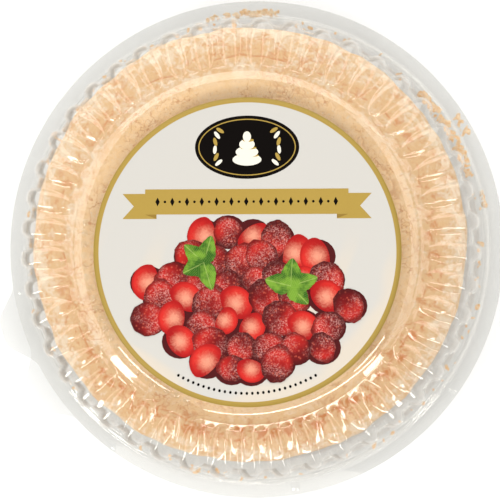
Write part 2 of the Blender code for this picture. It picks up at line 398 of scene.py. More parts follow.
def copies_tree():
    """Geometry Nodes: copies of a shape round the Z axis, welded to each other."""
    tree = bpy.data.node_groups.new("Copies Round Axis", "GeometryNodeTree")
    sockets = (("Geometry", "NodeSocketGeometry"), ("Count", "NodeSocketInt"),
               ("First Turn", "NodeSocketFloat"), ("Turn Between", "NodeSocketFloat"),
               ("Weld", "NodeSocketFloat"), ("Material", "NodeSocketMaterial"))
    for name, kind in sockets:
        tree.interface.new_socket(name, in_out="INPUT", socket_type=kind)
    tree.interface.new_socket("Geometry", in_out="OUTPUT", socket_type="NodeSocketGeometry")
    given = tree.nodes.new("NodeGroupInput").outputs
    points = add(tree, "GeometryNodePoints", {"Count": given["Count"]})
    index = tree.nodes.new("GeometryNodeInputIndex").outputs[0]
    turn = calc(tree, "MULTIPLY_ADD", index, given["Turn Between"], given["First Turn"])
    rotation = add(tree, "ShaderNodeCombineXYZ", {"Z": turn}).outputs[0]
    placed = add(tree, "GeometryNodeInstanceOnPoints",
                 {"Points": points.outputs[0], "Instance": given["Geometry"], "Rotation": rotation})
    real = add(tree, "GeometryNodeRealizeInstances", {0: placed.outputs[0]})
    welded = add(tree, "GeometryNodeMergeByDistance", {"Geometry": real.outputs[0],
                                                       "Distance": given["Weld"]})
    painted = add(tree, "GeometryNodeSetMaterial", {"Geometry": welded.outputs[0],
                                                    "Material": given["Material"]})
    add(tree, "NodeGroupOutput", {0: painted.outputs[0]})
    return tree


def set_inputs(modifier, values):
    """Sets a node modifier's inputs, given by name, through their identifiers."""
    for item in modifier.node_group.interface.items_tree:
        if item.item_type == "SOCKET" and item.in_out == "INPUT" and item.name in values:
            modifier[item.identifier] = values[item.name]


def copied_round(source, name, count, first, between, material, weld=0.002 * MM):
    tree = bpy.data.node_groups.get("Copies Round Axis") or copies_tree()
    modifier = source.modifiers.new("copies", "NODES")
    modifier.node_group = tree
    set_inputs(modifier, {"Count": count, "First Turn": first, "Turn Between": between,
                          "Weld": weld, "Material": material})
    return baked(source, name)


def turned(line, columns, name):
    """Turns a line of (radius, height) points about Z; the line runs from rim to centre."""
    mesh = bpy.data.meshes.new(name)
    mesh.from_pydata([(p.x, 0.0, p.y) for p in line], [(i, i + 1) for i in range(len(line) - 1)], [])
    source = new_object(name, mesh)
    screw = source.modifiers.new("turn", "SCREW")
    screw.axis = "Z"
    screw.steps = columns
    screw.render_steps = columns
    screw.use_merge_vertices = True
    screw.merge_threshold = 0.001 * MM
    return baked(source, name)


def add_tab(mesh, middle, width, reach):
    """Draws the flange out into a rounded pull tab."""
    half = width / RIM / 2
    for vert in mesh.vertices:
        radius = math.hypot(vert.co.x, vert.co.y)
        if radius < RIM - 6.0 * MM:
            continue
        off = math.remainder(math.atan2(vert.co.y, vert.co.x) - middle, 2 * math.pi)
        share = (off + half) / (2 * half)
        bulge = smooth_step(0.0, 0.42, share) * smooth_step(0.0, 0.42, 1.0 - share)
        grown = radius + reach * bulge * (radius - RIM + 6.0 * MM) / (6.0 * MM)
        vert.co.xy *= grown / radius


def press_marks(mesh, marks):
    """Presses round marks of (radius, turn, size, depth) into a flat of the sheet."""
    for vert in mesh.vertices:
        for radius, turn, size, depth in marks:
            away = math.hypot(vert.co.x - radius * math.cos(turn), vert.co.y - radius * math.sin(turn))
            if away < size:
                vert.co.z -= depth * (1.0 - (away / size) ** 2) ** 2


def add_wall(piece, thickness):
    """Gives an open sheet its thickness, inward from the modelled face."""
    wall = piece.modifiers.new("wall", "SOLIDIFY")
    wall.thickness = thickness
    wall.offset = -1.0
    wall.use_even_offset = True
    name = piece.name
    made = baked(piece, name)
    made.data.shade_smooth()
    made.data.set_sharp_from_angle(angle=math.radians(50.0))
    return made


class PAVLOVA_OT_clear_lid(bpy.types.Operator):
    """Makes the fluted dome lid with its flange and pull tab"""
    bl_idname = "pavlova.clear_lid"
    bl_label = "Clear Lid"

    def execute(self, context):
        pack = context.scene.pavlova_pack
        material = clear_material("clear_lid", pack.lid_tint, (0.95, 0.92, 0.87), 0.055)
        lid = copied_round(flute_sector(pack), "clear_lid", pack.flute_count, pack.flute_turn,
                           2 * math.pi / pack.flute_count, material)
        add_tab(lid.data, math.radians(213.8), 51.5 * MM, 13.0 * MM)
        press_marks(lid.data, [(RIM - 3.6 * MM, math.radians(10.0 + 45.0 * step), 2.6 * MM, -0.7 * MM)
                               for step in range(8)])
        lid = add_wall(lid, pack.sheet)
        finish_piece(lid, material, "lid")
        arc = [math.pi / 12 * step for step in range(6, -1, -1)]
        line = [Vector((2.0 * MM * math.cos(turn), 0.5 * MM * math.sin(turn))) for turn in arc]
        line[0].x = 0.0
        pip = turned(line, 20, "pip")
        slope = Matrix.Rotation(math.radians(7.5), 4, "Y")
        pip.data.transform(Matrix.Translation((91.6 * MM, 0.0, PANEL_TOP - 0.22 * MM)) @ slope)
        pips = copied_round(pip, "lid_pips", 21, math.radians(171.0), math.radians(3.9), material)
        pips.data.shade_smooth()
        finish_piece(pips, material)
        return {"FINISHED"}


class PAVLOVA_OT_clear_tray(bpy.types.Operator):
    """Makes the shallow clear tray with its ridge, flange and pull tab"""
    bl_idname = "pavlova.clear_tray"
    bl_label = "Clear Tray"

    def execute(self, context):
        pack = context.scene.pavlova_pack
        corners = [(RIM, TRAY_FLANGE_TOP, 0), (RIM - 3.0 * MM, TRAY_FLANGE_TOP, 0),
                   (RIM - 6.0 * MM, TRAY_FLANGE_TOP, 0),
                   (136.2 * MM, TRAY_FLANGE_TOP, 0.5 * MM), (134.2 * MM, RIDGE_TOP, 0.9 * MM),
                   (131.0 * MM, RIDGE_TOP, 0.9 * MM), (130.3 * MM, 15.0 * MM, 0),
                   (125.4 * MM, pack.sheet, 1.6 * MM), (110.0 * MM, pack.sheet, 0),
                   (0.0, pack.sheet, 0)]
        tray = turned(rounded_line(corners)[::-1], 360, "clear_tray")
        add_tab(tray.data, math.radians(198.3), 50.5 * MM, 12.8 * MM)
        tray = add_wall(tray, pack.sheet)
        finish_piece(tray, clear_material("clear_tray", pack.tray_tint, (0.86, 0.84, 0.79), 0.09), "tray")
        return {"FINISHED"}


# ------------------------------------------------------------------ meringue


def squarish(flat, upright, steps):
    """Points along a squarish curve, from where it is level to where it is upright."""
    squareness = 2.4
    points = []
    for step in range(steps + 1):
        turn = math.pi / 2 * step / steps
        across = math.sin(turn) ** (2 / squareness)
        up = math.cos(turn) ** (2 / squareness)
        points.append(Vector((flat[0] + (upright[0] - flat[0]) * across,
                              upright[1] + (flat[1] - upright[1]) * up)))
    return points


def even_line(points, spacing):
    """The same line with its points at about one spacing."""
    line = [points[0]]
    for a, b in zip(points, points[1:]):
        cuts = max(round((b - a).length / spacing), 1)
        line += [a.lerp(b, step / cuts) for step in range(1, cuts + 1)]
    return line


def ring_noise(turn, size, seed):
    """Noise that closes on itself round a circle."""
    return noise.noise(Vector((math.cos(turn) * size, math.sin(turn) * size, seed)))


def crust_mesh(crust):
    """The meringue's surface: a drum with a sunken top, wavy sides and a cracked rim."""
    low = CRUST_LOW.z
    edge, widest, foot = (98.0 * MM, 47.8 * MM), (124.9 * MM, 30.0 * MM), (112.0 * MM, low)
    top = [Vector((edge[0] * share, edge[1] - 0.7 * MM * (1 - share**2)))
           for share in (1.0, 0.9, 0.8, 0.7)]
    inside = [Vector((edge[0] * share, edge[1] - 0.7 * MM * (1 - share**2)))
              for share in (0.5, 0.25, 0.0)]
    upper = squarish(edge, widest, 60)
    lower = squarish(foot, widest, 40)
    line = [Vector((0.0, low)), Vector((90.0 * MM, low))] + even_line(lower, 1.6 * MM)
    line += even_line(upper[::-1], 0.85 * MM)[1:] + even_line(top, 0.9 * MM)[1:] + inside
    piece = turned(line[::-1], 640, "crust")
    mesh = piece.data
    crack = mesh.attributes.new("crack", "FLOAT", "POINT")
    toast = mesh.attributes.new("toast", "FLOAT", "POINT")
    cracks, toasts = [], []
    for vert in mesh.vertices:
        place = vert.co.copy()
        reach = math.hypot(place.x, place.y)
        lift = (place.z - low) / (edge[1] - low)
        if reach < 1.0 * MM or lift <= 0.0:
            cracks.append(0.0)
            toasts.append(0.3)
            continue
        turn = math.atan2(place.y, place.x)
        swell = noise.noise(Vector((place.x * 30.0, place.y * 30.0, place.z * 25.0)))
        side = smooth_step(0.02, 0.35, lift) * (1.0 - smooth_step(0.97, 1.02, lift))
        lumps = noise.fractal(place * 130.0, 0.9, 2.1, 4)
        wrinkles = abs(noise.noise(Vector((turn * 9.0, place.z * 210.0, 3.0))))
        bulge = noise.noise(place * 85.0 + Vector((2.0, 8.0, 5.0)))
        out = swell * 0.8 * MM + side * (bulge * 1.3 * MM + crust.lump * (lumps - 0.5 * wrinkles))
        wave = noise.noise(Vector((place.x * 38.0, place.y * 38.0, 4.0)))
        up = wave * 2.4 * MM * smooth_step(0.5, 1.0, lift) + 0.12 * MM * lumps
        ring = crust.crack_radius + 5.0 * MM * ring_noise(turn, 2.3, 1.0)
        ring += 2.2 * MM * ring_noise(turn, 9.0, 5.0)
        presence = smooth_step(-0.05, 0.22, ring_noise(turn, 4.2, 9.0) + 0.5 * ring_noise(turn, 21.0, 3.0))
        width = (0.6 + 0.6 * ring_noise(turn, 12.0, 2.0)) * MM
        away = abs(reach - ring) / max(width, 0.3 * MM)
        cut = presence * math.exp(-away**2) if lift > 0.6 else 0.0
        cell = noise.voronoi(place * 70.0 + noise.noise_vector(place * 160.0) * 0.5)[0]
        net = 1.0 - smooth_step(0.0, 0.13, cell[1] - cell[0])
        patch = smooth_step(0.05, 0.35, noise.noise(place * 35.0 + Vector((7.0, 1.0, 0.0))))
        cut = max(cut, 0.65 * net * patch * smooth_step(0.5, 0.8, lift))
        vert.co.xy += place.xy / reach * (out - 0.5 * MM * cut)
        vert.co.z += up - 0.6 * MM * cut
        near_ring = math.exp(-((reach - ring - 1.5 * MM) / (7.0 * MM)) ** 2)
        front = 0.5 + 0.5 * math.cos(turn - math.radians(285.0))
        cracks.append(cut)
        toasts.append(min(near_ring * (0.25 + 0.75 * front**2), 1.0) if lift > 0.5 else 0.15)
    crack.data.foreach_set("value", cracks)
    toast.data.foreach_set("value", toasts)
    mesh.transform(Matrix.Translation(CRUST_CENTRE))
    mesh.shade_smooth()
    return piece


def crust_material(crust):
    """Dry baked meringue: chalky and pale, mottled tan, orange-brown in its cracks, with painted light that
    makes the crust paler just inside the label's edge.
    """
    material, tree, output = new_material("meringue_crust")
    place = object_place(tree)
    crack = add(tree, "ShaderNodeAttribute", attribute_name="crack").outputs["Fac"]
    toast = add(tree, "ShaderNodeAttribute", attribute_name="toast").outputs["Fac"]
    broad = grain(tree, place, 55.0, 4.0, 0.6, 0.6)
    mottle = grain(tree, place, 260.0, 4.0, 0.65, 0.4)
    fine = grain(tree, place, 1500.0, 2.0, 0.6)
    warm = calc(tree, "MULTIPLY_ADD", mottle, 0.85, calc(tree, "MULTIPLY", broad, 0.45))
    warm = calc(tree, "MULTIPLY_ADD", toast, 0.45, warm)
    colour = blend(tree, spread(tree, warm, 0.54, 0.80), crust.pale, crust.tan)
    apart = add(tree, "ShaderNodeSeparateXYZ", {0: place}).outputs
    flat = add(tree, "ShaderNodeCombineXYZ", {"X": apart["X"], "Y": apart["Y"]}).outputs[0]
    radius = add(tree, "ShaderNodeVectorMath", {0: flat}, operation="LENGTH").outputs["Value"]
    # Painted light: the crust within about 98 mm of the middle is painted paler, to make up for the shade the
    # label casts on it.
    inner = spread(tree, radius, 104.0 * MM, 92.0 * MM)
    colour = blend(tree, calc(tree, "MULTIPLY", inner, 0.7), colour, srgb(252, 208, 150))
    sugar = spread(tree, grain(tree, place, 620.0, 2.0, 0.5), 0.60, 0.74)
    colour = blend(tree, calc(tree, "MULTIPLY", sugar, 0.45), colour, srgb(226, 208, 182))
    patches = calc(tree, "MULTIPLY_ADD", toast, 0.12, grain(tree, place, 190.0, 5.0, 0.7, 0.8))
    blotch = spread(tree, patches, 0.565, 0.70)
    browned = calc(tree, "MULTIPLY", blotch, calc(tree, "MULTIPLY_ADD", toast, 0.75, 0.42))
    speck = speckle(tree, place, 800.0, 0.60, 0.70)
    browned = calc(tree, "MAXIMUM", browned, calc(tree, "MULTIPLY", speck, 0.6))
    browned = calc(tree, "MAXIMUM", browned, spread(tree, crack, 0.15, 0.9, 0.0, 0.65))
    bent = add(tree, "ShaderNodeTexNoise", {"Vector": place, "Scale": 140.0, "Detail": 3.0}).outputs["Color"]
    shift = add(tree, "ShaderNodeVectorMath", {0: bent, 1: (0.02, 0.02, 0.02)}, operation="MULTIPLY")
    strayed = add(tree, "ShaderNodeVectorMath", {0: place, 1: shift.outputs[0]}).outputs[0]
    edges = add(tree, "ShaderNodeTexVoronoi", {"Vector": strayed, "Scale": 85.0},
                feature="DISTANCE_TO_EDGE").outputs["Distance"]
    hairline = calc(tree, "MULTIPLY", spread(tree, edges, 0.035, 0.0),
                    spread(tree, grain(tree, place, 48.0, 3.0), 0.50, 0.60))
    browned = calc(tree, "MAXIMUM", browned, calc(tree, "MULTIPLY", hairline, 0.75))
    colour = blend(tree, browned, colour, crust.toasted)
    height = calc(tree, "MULTIPLY_ADD", mottle, 0.35, calc(tree, "MULTIPLY", fine, 0.3))
    bump = add(tree, "ShaderNodeBump", {"Strength": 0.55, "Distance": 0.6 * MM, "Height": height})
    shader = add(tree, "ShaderNodeBsdfPrincipled",
                 {"Base Color": colour, "Roughness": 0.88, "Normal": bump.outputs[0],
                  "Specular IOR Level": 0.2})
    tree.links.new(shader.outputs[0], output.inputs["Surface"])
    return material


class PAVLOVA_OT_crust(bpy.types.Operator):
    """Makes the baked meringue with its cracked crust"""
    bl_idname = "pavlova.crust"
    bl_label = "Meringue Crust"

    def execute(self, context):
        crust = context.scene.pavlova_crust
        finish_piece(crust_mesh(crust), crust_material(crust), "meringue")
        return {"FINISHED"}


# ------------------------------------------------------------------ crumbs


CRUMB_PATCHES = (   # turn from and to in degrees, radius from and to, height, count
    (18.0, 43.0, 130.6 * MM, 134.6 * MM, RIDGE_TOP, 150),
    (9.0, 14.0, 135.0 * MM, 137.0 * MM, TRAY_FLANGE_TOP, 14),
    (28.0, 33.0, 138.0 * MM, 142.0 * MM, TRAY_FLANGE_TOP, 20),
    (84.0, 93.0, 136.6 * MM, 139.6 * MM, TRAY_FLANGE_TOP, 46),
    (94.0, 102.0, 136.6 * MM, 138.6 * MM, TRAY_FLANGE_TOP, 18),
    (250.0, 276.0, 130.6 * MM, 134.0 * MM, RIDGE_TOP, 12),
    (0.0, 360.0, 130.6 * MM, 134.6 * MM, RIDGE_TOP, 90),
)


def crumbs_tree():
    """Geometry Nodes: flat flakes of many sizes, one on each given point."""
    tree = bpy.data.node_groups.new("Crumbs", "GeometryNodeTree")
    sockets = (("Geometry", "NodeSocketGeometry"), ("Smallest", "NodeSocketVector"),
               ("Largest", "NodeSocketVector"), ("Seed", "NodeSocketInt"),
               ("Material", "NodeSocketMaterial"))
    for name, kind in sockets:
        tree.interface.new_socket(name, in_out="INPUT", socket_type=kind)
    tree.interface.new_socket("Geometry", in_out="OUTPUT", socket_type="NodeSocketGeometry")
    given = tree.nodes.new("NodeGroupInput").outputs
    flake = add(tree, "GeometryNodeMeshIcoSphere", {"Radius": 1.0, "Subdivisions": 2})
    size = add(tree, "FunctionNodeRandomValue",
               {0: given["Smallest"], 1: given["Largest"], "Seed": given["Seed"]},
               data_type="FLOAT_VECTOR")
    turn = add(tree, "FunctionNodeRandomValue",
               {0: (-0.12, -0.12, 0.0), 1: (0.12, 0.12, 6.28), "Seed": given["Seed"]},
               data_type="FLOAT_VECTOR")
    strewn = add(tree, "GeometryNodeInstanceOnPoints",
                 {"Points": given["Geometry"], "Instance": flake.outputs[0],
                  "Rotation": turn.outputs[0], "Scale": size.outputs[0]})
    real = add(tree, "GeometryNodeRealizeInstances", {0: strewn.outputs[0]})
    rough = add(tree, "ShaderNodeTexNoise", {"Scale": 1400.0, "Detail": 1.0}).outputs["Color"]
    centred = add(tree, "ShaderNodeVectorMath", {0: rough, 1: (0.5, 0.5, 0.5)}, operation="SUBTRACT")
    nudge = add(tree, "ShaderNodeVectorMath", {0: centred.outputs[0], 1: (0.0016, 0.0016, 0.0003)},
                operation="MULTIPLY")
    moved = add(tree, "GeometryNodeSetPosition", {"Geometry": real.outputs[0],
                                                  "Offset": nudge.outputs[0]})
    painted = add(tree, "GeometryNodeSetMaterial", {"Geometry": moved.outputs[0],
                                                    "Material": given["Material"]})
    add(tree, "NodeGroupOutput", {0: painted.outputs[0]})
    return tree


class PAVLOVA_OT_crumbs(bpy.types.Operator):
    """Makes the loose crumbs that lie between the tray and the lid"""
    bl_idname = "pavlova.crumbs"
    bl_label = "Loose Crumbs"

    def execute(self, context):
        source = random.Random(4)
        points = []
        for first, last, inside, outside, height, count in CRUMB_PATCHES:
            for _ in range(count):
                turn = math.radians(source.uniform(first, last))
                radius = source.uniform(inside, outside)
                points.append((radius * math.cos(turn), radius * math.sin(turn), height + 0.15 * MM))
        mesh = bpy.data.meshes.new("crumb_points")
        mesh.from_pydata(points, [], [])
        strewn = new_object("crumb_points", mesh)
        modifier = strewn.modifiers.new("crumbs", "NODES")
        modifier.node_group = crumbs_tree()
        material, tree, output = new_material("crumb")
        colour = blend(tree, speckle(tree, object_place(tree), 700.0, 0.35, 0.65), srgb(248, 224, 190), srgb(238, 192, 138))
        shader = add(tree, "ShaderNodeBsdfPrincipled",
                     {"Base Color": colour, "Roughness": 0.9, "Specular IOR Level": 0.2})
        tree.links.new(shader.outputs[0], output.inputs["Surface"])
        set_inputs(modifier, {"Smallest": (0.25 * MM, 0.2 * MM, 0.05 * MM),
                              "Largest": (2.3 * MM, 1.5 * MM, 0.14 * MM),
                              "Seed": 3, "Material": material})
        finish_piece(baked(strewn, "crumbs"), material)
        return {"FINISHED"}


# ------------------------------------------------------------------ label


def slab(shape, outline, low, high, slot=0, uv=None):
    """A flat closed shape with a straight edge. The layer of uv holds each point's own place."""
    ups = [shape.verts.new((x, y, high)) for x, y in outline]
    downs = [shape.verts.new((x, y, low)) for x, y in outline]
    faces = [shape.faces.new(ups), shape.faces.new(downs[::-1])]
    count = len(outline)
    for i in range(count):
        j = (i + 1) % count
        faces.append(shape.faces.new((ups[i], downs[i], downs[j], ups[j])))
    for face in faces:
        face.material_index = slot
    if uv:
        layer = shape.loops.layers.uv.verify()
        places = dict(zip(ups, uv))
        places.update(zip(downs, uv))
        for face in faces:
            for loop in face.loops:
                loop[layer].uv = places[loop.vert]
    return faces


def print_piece(name, shape, materials):
    """A printed layer as an object, moved to the label's middle."""
    mesh = bpy.data.meshes.new(name)
    shape.to_mesh(mesh)
    shape.free()
    mesh.transform(Matrix.Translation((LABEL_CENTRE.x, LABEL_CENTRE.y, LABEL_HIGH.z)))
    for material in materials:
        mesh.materials.append(material)
    return finish_piece(new_object(name, mesh), None)


def print_material(name, colour_socket_maker, gloss=0.2):
    """Printed paper: a colour made by nodes on the label's satin surface."""
    material, tree, output = new_material(name)
    colour = colour_socket_maker(tree)
    shader = add(tree, "ShaderNodeBsdfPrincipled",
                 {"Base Color": colour, "Roughness": 0.5, "Specular IOR Level": gloss})
    tree.links.new(shader.outputs[0], output.inputs["Surface"])
    return material


class PAVLOVA_OT_label(bpy.types.Operator):
    """Makes the round paper label with its gold border and cream ground"""
    bl_idname = "pavlova.label"
    bl_label = "Paper Label"

    def execute(self, context):
        label = context.scene.pavlova_label
        line = [Vector((0.0, LABEL_HIGH.z)), Vector((LABEL_RADIUS - label.border, LABEL_HIGH.z)),
                Vector((LABEL_RADIUS, LABEL_HIGH.z)), Vector((LABEL_RADIUS, LABEL_LOW.z)),
                Vector((0.0, LABEL_LOW.z))]
        disc = turned(line, 180, "paper_label")
        disc.data.transform(Matrix.Translation((LABEL_CENTRE.x, LABEL_CENTRE.y, 0.0)))
        finish_piece(disc, print_material("label_paper", lambda tree: cream_ground(tree, label)),
                     "label")
        return {"FINISHED"}


def cream_ground(tree, label):
    """The gold border round a ground like whipped cream, with soft warm folds."""
    inputs = {"Vector": object_place(tree), "Location": (-LABEL_CENTRE.x, -LABEL_CENTRE.y, 0.0)}
    place = add(tree, "ShaderNodeMapping", inputs).outputs[0]
    apart = add(tree, "ShaderNodeSeparateXYZ", {0: place}).outputs
    flat = add(tree, "ShaderNodeCombineXYZ", {"X": apart["X"], "Y": apart["Y"]}).outputs[0]
    radius = add(tree, "ShaderNodeVectorMath", {0: flat}, operation="LENGTH").outputs["Value"]
    wave = add(tree, "ShaderNodeTexWave",
               {"Vector": flat, "Scale": 9.0, "Distortion": 7.0, "Detail": 2.0,
                "Detail Scale": 1.2, "Detail Roughness": 0.4},
               wave_type="RINGS", rings_direction="SPHERICAL").outputs["Fac"]
    fold = calc(tree, "MULTIPLY", spread(tree, wave, 0.55, 1.0),
                spread(tree, apart["Y"], 20.0 * MM, -30.0 * MM))
    colour = blend(tree, calc(tree, "MULTIPLY", fold, 0.6), label.cream, srgb(214, 198, 176))
    edge = calc(tree, "GREATER_THAN", radius, LABEL_RADIUS - label.border)
    return blend(tree, edge, colour, label.gold)


def ellipse(centre, across, up, count=48):
    return [(centre[0] + across * math.cos(2 * math.pi * k / count),
             centre[1] + up * math.sin(2 * math.pi * k / count)) for k in range(count)]


class PAVLOVA_OT_ornament(bpy.types.Operator):
    """Makes the printed medallion, ribbon and rows of small marks"""
    bl_idname = "pavlova.ornament"
    bl_label = "Label Ornament"

    def execute(self, context):
        label = context.scene.pavlova_label
        inks = [print_material("ink", lambda tree: plain(tree, label.ink), 0.06),
                print_material("gold_print", lambda tree: plain(tree, label.gold)),
                print_material("dark_gold", lambda tree: plain(tree, srgb(140, 112, 50))),
                print_material("cream_print", lambda tree: plain(tree, srgb(228, 222, 205)))]
        shape = bmesh.new()
        layer = 0.02 * MM
        draw_medallion(shape, layer)
        draw_ribbon(shape, layer)
        print_piece("label_ornament", shape, inks)
        dot = bmesh.new()
        outline = ellipse((79.3 * MM, 0.0), 0.9 * MM, 0.75 * MM, 12)
        slab(dot, outline, 0.0, layer)
        mesh = bpy.data.meshes.new("dot")
        dot.to_mesh(mesh)
        dot.free()
        row = copied_round(new_object("dot", mesh), "label_dots", 27, math.radians(241.0),
                           math.radians(2.25), inks[0])
        row.data.transform(Matrix.Translation((LABEL_CENTRE.x, LABEL_CENTRE.y, LABEL_HIGH.z)))
        finish_piece(row, inks[0])
        return {"FINISHED"}


def plain(tree, colour):
    """An ink with the faint unevenness of print on paper."""
    uneven = grain(tree, object_place(tree), 900.0, 2.0)
    return blend(tree, calc(tree, "MULTIPLY", uneven, 0.18), colour,
                 tuple(min(1.0, value * 1.3) for value in colour))


def draw_medallion(shape, layer):
    """A dark oval with a gold line, a piped swirl and two sprigs."""
    centre = (0.4 * MM, 59.0 * MM)
    slab(shape, ellipse(centre, 29.5 * MM, 17.8 * MM, 64), 0.0, layer, 0)
    slab(shape, ellipse(centre, 27.6 * MM, 16.0 * MM, 64), 0.0, 2 * layer, 1)
    slab(shape, ellipse(centre, 27.0 * MM, 15.4 * MM, 64), 0.0, 3 * layer, 0)
    for step, (width, height) in enumerate(((8.2, 3.4), (6.4, 3.2), (4.4, 3.0), (2.3, 3.0))):
        middle = (centre[0], centre[1] + (-7.0 + 4.3 * step) * MM)
        slab(shape, ellipse(middle, width * MM, height * MM, 28), 0.0, (4 + 2 * step) * layer, 3)
        if step < 3:
            shade = (middle[0] + 0.8 * MM, middle[1] + 2.3 * MM)
            slab(shape, ellipse(shade, 0.72 * width * MM, 0.9 * MM, 20), 0.0,
                 (5 + 2 * step) * layer, 1)
    for side in (-1, 1):
        for step in range(6):
            turn = math.radians(-55.0 + 24.0 * step)
            x = centre[0] + side * (13.0 + 5.2 * math.cos(turn)) * MM
            y = centre[1] + 10.5 * math.sin(turn) * MM
            lean = side * (math.pi / 2 - turn * 0.9)
            outline = [(x + dx * math.cos(lean) - dy * math.sin(lean),
                        y + dx * math.sin(lean) + dy * math.cos(lean))
                       for dx, dy in ellipse((0.0, 0.0), 2.5 * MM, 1.05 * MM, 14)]
            slab(shape, outline, 0.0, 4 * layer, 1 if step % 2 else 3)


def draw_ribbon(shape, layer):
    """A straight gold ribbon with forked ends, folded behind its middle, and a row of marks."""
    middle, half, tall = 28.4 * MM, 57.5 * MM, 7.1 * MM
    for side in (-1, 1):
        inner, outer = side * 51.0 * MM, side * 70.5 * MM
        low, high = middle - 9.6 * MM, middle + 4.6 * MM
        notch = (outer - side * 6.5 * MM, (low + high) / 2)
        tail = [(inner, low), (outer, low), notch, (outer, high), (inner, high)]
        slab(shape, tail[::side], 0.0, layer, 1)
        fold = [(inner, low), (side * half, middle - tall), (inner, middle - tall)]
        slab(shape, fold[::side], 0.0, 2 * layer, 2)
    band = [(-half, middle - tall), (half, middle - tall), (half, middle + tall), (-half, middle + tall)]
    slab(shape, band, 0.0, 3 * layer, 1)
    for step in range(-12, 13):
        x = step * 4.2 * MM
        across, up = (1.25 * MM, 2.5 * MM) if step % 2 == 0 else (0.75 * MM, 0.75 * MM)
        count = 4 if step % 2 == 0 else 12
        slab(shape, ellipse((x, middle), across, up, count), 0.0, 4 * layer, 0)


# ------------------------------------------------------------------ printed fruit


def berry_outline(size, random_source):
    """A plump fruit with a blunt top, a rounded point and a slightly bumpy edge."""
    long = size * random_source.uniform(1.05, 1.25)
    points = []
    for step in range(30):
        turn = 2 * math.pi * step / 30
        pinch = 1.0 - 0.22 * smooth_step(0.1, 1.0, math.sin(turn))
        bumps = 1.0 + 0.03 * math.sin(9 * turn + long * 900.0)
        points.append((size * math.cos(turn) * pinch * bumps, long * math.sin(turn) * bumps))
    return points


def wedge_outline(size, random_source):
    """A cut wedge: a round skin side and a flatter cut side."""
    depth = random_source.uniform(0.55, 0.8)
    points = []
    for step in range(30):
        turn = 2 * math.pi * step / 30
        up = math.sin(turn)
        points.append((size * 1.1 * math.cos(turn), size * (up if up > 0 else depth * up)))
    return points


def leaf_outline(length, width):
    points = []
    for step in range(36):
        turn = 2 * math.pi * step / 36
        x = math.cos(turn)
        teeth = 1.0 + 0.05 * math.sin(13 * turn)
        points.append((length / 2 * (1.0 + x), width / 2 * math.sin(turn) * (1.15 - 0.55 * x) * teeth))
    return points


def placed(outline, centre, turn):
    return [(centre[0] + x * math.cos(turn) - y * math.sin(turn),
             centre[1] + x * math.sin(turn) + y * math.cos(turn)) for x, y in outline]


def fruit_paint(tree, deep, bright, pale, cut):
    """Fruit colour on the shape's own UV: lit from above, seeded, with icing sugar."""
    uv = add(tree, "ShaderNodeTexCoord").outputs["UV"]
    apart = add(tree, "ShaderNodeSeparateXYZ", {0: uv}).outputs
    radius = add(tree, "ShaderNodeVectorMath", {0: uv}, operation="LENGTH").outputs["Value"]
    place = object_place(tree)
    light = spread(tree, calc(tree, "MULTIPLY_ADD", apart["Y"], 0.6, grain(tree, place, 110.0)), 0.1, 1.1)
    colour = blend(tree, light, deep, bright)
    if cut:
        streak = grain(tree, place, 420.0, 2.0, 0.6, 1.5)
        heart = spread(tree, calc(tree, "MULTIPLY_ADD", streak, 0.5, radius), 1.05, 0.25)
        colour = blend(tree, calc(tree, "MULTIPLY", heart, 0.8), colour, pale)
        rim = spread(tree, radius, 0.80, 1.0)
        colour = blend(tree, calc(tree, "MULTIPLY", rim, 0.7), colour, deep)
    else:
        seeds = add(tree, "ShaderNodeTexVoronoi", {"Vector": place, "Scale": 520.0},
                    feature="F1").outputs["Distance"]
        pit = spread(tree, seeds, 0.42, 0.12)
        colour = blend(tree, calc(tree, "MULTIPLY", pit, 0.55), colour, srgb(206, 92, 70))
        sugar = calc(tree, "MULTIPLY", spread(tree, grain(tree, place, 1300.0, 3.0, 0.7), 0.46, 0.66),
                     spread(tree, grain(tree, place, 90.0, 2.0), 0.35, 0.62))
        colour = blend(tree, calc(tree, "MULTIPLY", sugar, 0.62), colour, pale)
        rim = spread(tree, radius, 0.65, 1.05)
        colour = blend(tree, calc(tree, "MULTIPLY", rim, 0.75), colour, tuple(0.35 * v for v in deep))
    return colour


def leaf_paint(tree):
    uv = add(tree, "ShaderNodeTexCoord").outputs["UV"]
    apart = add(tree, "ShaderNodeSeparateXYZ", {0: uv}).outputs
    slant = calc(tree, "SUBTRACT", apart["X"], calc(tree, "ABSOLUTE", apart["Y"]))
    veins = calc(tree, "ABSOLUTE", calc(tree, "SINE", calc(tree, "MULTIPLY", slant, 16.0)))
    spine = spread(tree, calc(tree, "ABSOLUTE", apart["Y"]), 0.10, 0.0)
    line = calc(tree, "MAXIMUM", spread(tree, veins, 0.25, 0.0), spine)
    tone = grain(tree, object_place(tree), 160.0)
    colour = blend(tree, spread(tree, tone, 0.35, 0.65), srgb(48, 92, 22), srgb(112, 152, 48))
    return blend(tree, calc(tree, "MULTIPLY", line, 0.5), colour, srgb(172, 190, 104))


def heap_places(random_source):
    """Middles of the berries in a loose mound, back ones first."""
    places = []
    for row, half in enumerate((27.0, 43.0, 57.0, 63.0, 59.0, 48.0, 27.0)):
        count = max(round(2 * half / 15.0), 3)
        for step in range(count):
            x = -half + 2 * half * (step + 0.25 + 0.5 * (row % 2)) / count
            y = 9.0 - 12.2 * row + random_source.uniform(-2.6, 2.6)
            places.append(((x + random_source.uniform(-2.4, 2.4)) * MM, y * MM))
    return places


